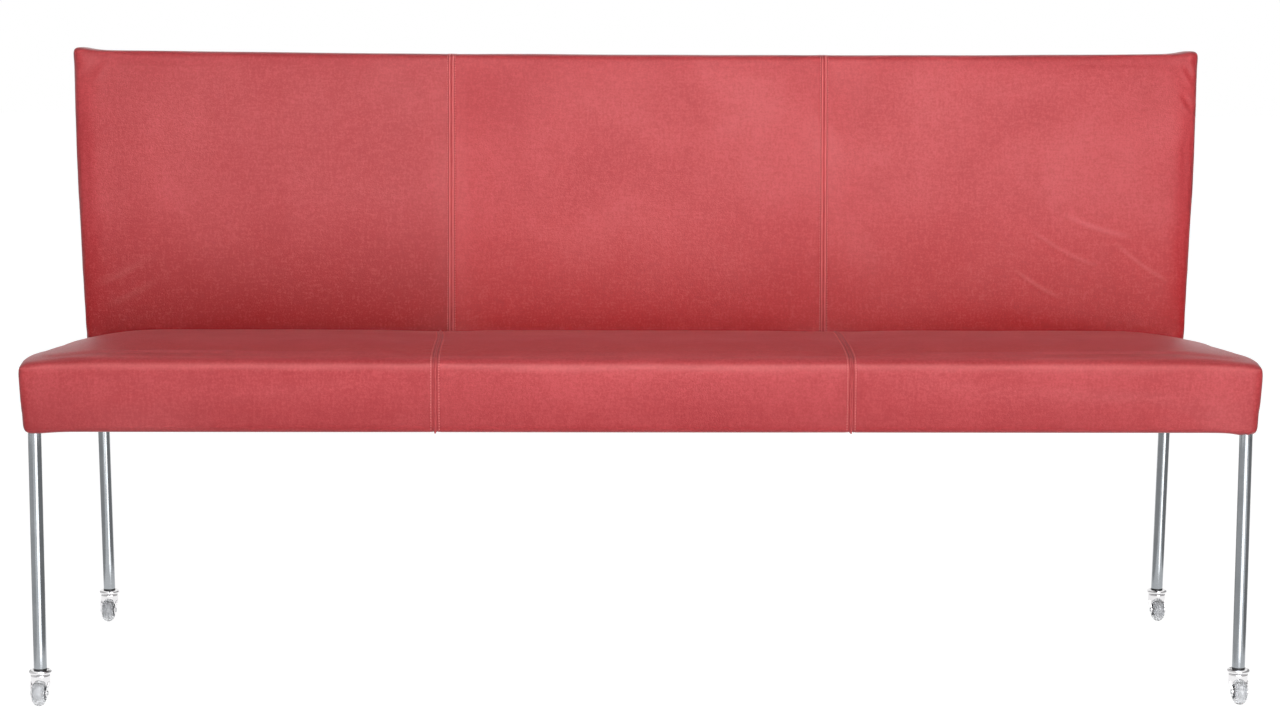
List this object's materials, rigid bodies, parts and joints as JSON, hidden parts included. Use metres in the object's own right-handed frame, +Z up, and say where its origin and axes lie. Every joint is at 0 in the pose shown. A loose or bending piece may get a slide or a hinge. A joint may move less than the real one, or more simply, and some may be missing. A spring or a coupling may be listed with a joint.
{
  "type": "dining bench",
  "caption": "Long upholstered dining bench with a padded leather seat and back in three panels, slim steel tube legs and swivel castors.",
  "frame": {"origin": "centre of the bench's footprint, on the floor under the wheels", "axes": "+X along the bench to the right as seen by someone who faces it, +Y towards the back, +Z up; the front faces -Y"},
  "size_m": [1.812, 0.6026, 0.9552],
  "materials": {
    "leather": "semi-aniline, softly mottled",
    "leg_steel": "satin, brushed along the tube",
    "chrome": "polished",
    "plated_steel": "zinc plated",
    "black_plastic": "moulded",
    "hub_plastic": "moulded",
    "tread_rubber": "soft translucent polyurethane",
    "frame_steel": "black powder coat",
    "plywood": "raw birch plywood",
    "webbing": "woven elastic belt",
    "foam": "open cell foam",
    "lining": "non-woven cloth"
  },
  "bodies": {
    "bench": {"front_left_leg": "leg_steel", "front_left_socket": "black_plastic", "front_left_stem": "plated_steel", "front_left_ring": "chrome", "front_right_leg": "leg_steel", "front_right_socket": "black_plastic", "front_right_stem": "plated_steel", "front_right_ring": "chrome", "rear_left_leg": "leg_steel", "rear_left_socket": "black_plastic", "rear_left_stem": "plated_steel", "rear_left_ring": "chrome", "rear_right_leg": "leg_steel", "rear_right_socket": "black_plastic", "rear_right_stem": "plated_steel", "rear_right_ring": "chrome", "front_rail": "frame_steel", "rear_rail": "frame_steel", "left_end_rail": "frame_steel", "right_end_rail": "frame_steel", "cross_rails": "frame_steel", "back_posts": "frame_steel", "back_top_rail": "frame_steel", "back_board": "plywood", "board_screws": "plated_steel", "seat_webbing": "webbing", "webbing_clips": "plated_steel", "seat_foam": "foam", "back_foam": "foam", "seat_cover_left": "leather", "seat_cover_middle": "leather", "seat_cover_right": "leather", "back_cover_left": "leather", "back_cover_middle": "leather", "back_cover_right": "leather", "underside_cloth": "lining"},
    "front_left_castor": {"front_left_fork": "chrome", "front_left_balls": "plated_steel", "front_left_axle": "plated_steel"},
    "front_left_wheel": {"front_left_hub": "hub_plastic", "front_left_tread": "tread_rubber"},
    "front_right_castor": {"front_right_fork": "chrome", "front_right_balls": "plated_steel", "front_right_axle": "plated_steel"},
    "front_right_wheel": {"front_right_hub": "hub_plastic", "front_right_tread": "tread_rubber"},
    "rear_left_castor": {"rear_left_fork": "chrome", "rear_left_balls": "plated_steel", "rear_left_axle": "plated_steel"},
    "rear_left_wheel": {"rear_left_hub": "hub_plastic", "rear_left_tread": "tread_rubber"},
    "rear_right_castor": {"rear_right_fork": "chrome", "rear_right_balls": "plated_steel", "rear_right_axle": "plated_steel"},
    "rear_right_wheel": {"rear_right_hub": "hub_plastic", "rear_right_tread": "tread_rubber"}
  },
  "joints": [
    {"name": "front_left_swivel", "type": "hinge", "parent": "bench", "child": "front_left_castor", "pos_m": [-0.88, -0.27135, 0.0448], "axis": [0, 0, 1], "continuous": true},
    {"name": "front_left_roll", "type": "hinge", "parent": "front_left_castor", "child": "front_left_wheel", "pos_m": [-0.88, -0.28235, 0.019], "axis": [1, 0, 0], "continuous": true},
    {"name": "front_right_swivel", "type": "hinge", "parent": "bench", "child": "front_right_castor", "pos_m": [0.88, -0.27135, 0.0448], "axis": [0, 0, 1], "continuous": true},
    {"name": "front_right_roll", "type": "hinge", "parent": "front_right_castor", "child": "front_right_wheel", "pos_m": [0.88, -0.28235, 0.019], "axis": [1, 0, 0], "continuous": true},
    {"name": "rear_left_swivel", "type": "hinge", "parent": "bench", "child": "rear_left_castor", "pos_m": [-0.88, 0.28485, 0.0448], "axis": [0, 0, 1], "continuous": true},
    {"name": "rear_left_roll", "type": "hinge", "parent": "rear_left_castor", "child": "rear_left_wheel", "pos_m": [-0.88, 0.27385, 0.019], "axis": [1, 0, 0], "continuous": true},
    {"name": "rear_right_swivel", "type": "hinge", "parent": "bench", "child": "rear_right_castor", "pos_m": [0.88, 0.28485, 0.0448], "axis": [0, 0, 1], "continuous": true},
    {"name": "rear_right_roll", "type": "hinge", "parent": "rear_right_castor", "child": "rear_right_wheel", "pos_m": [0.88, 0.27385, 0.019], "axis": [1, 0, 0], "continuous": true}
  ]
}
